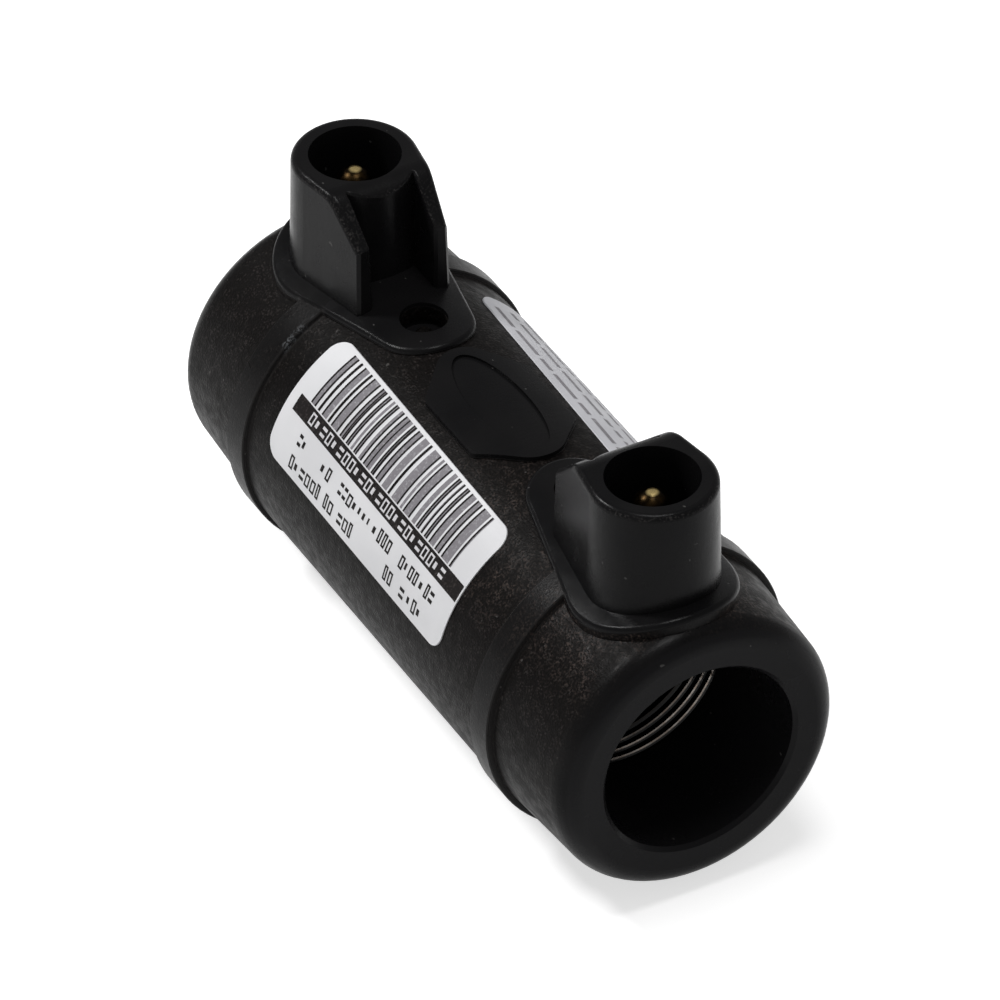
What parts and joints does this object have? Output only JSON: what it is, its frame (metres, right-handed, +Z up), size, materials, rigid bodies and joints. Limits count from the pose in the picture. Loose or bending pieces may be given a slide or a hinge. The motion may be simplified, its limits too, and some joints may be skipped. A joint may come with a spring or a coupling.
{
  "type": "electrofusion pipe coupler",
  "caption": "Straight electrofusion coupler for plastic pipe, with a socket at each end, a built-in heating wire and two shrouded terminals on top.",
  "frame": {"origin": "on the pipe axis, half way between the two ends", "axes": "+X along the pipe axis towards the right end, +Z up towards the terminals, -Y towards the front label"},
  "size_m": [0.078, 0.0324, 0.0434],
  "materials": {
    "polyethylene": "fine moulded grain, satin on the rings and ends",
    "pin_metal": "bright, plated",
    "resistance_wire": "bright drawn wire",
    "front_label_film": "white label with black print",
    "rear_label_film": "pale label with faint print"
  },
  "bodies": {
    "root": {"coupler_body": "polyethylene", "terminal_pin_right": "pin_metal", "terminal_pin_left": "pin_metal", "heating_wire": "resistance_wire", "front_label": "front_label_film", "rear_label": "rear_label_film"}
  },
  "joints": []
}
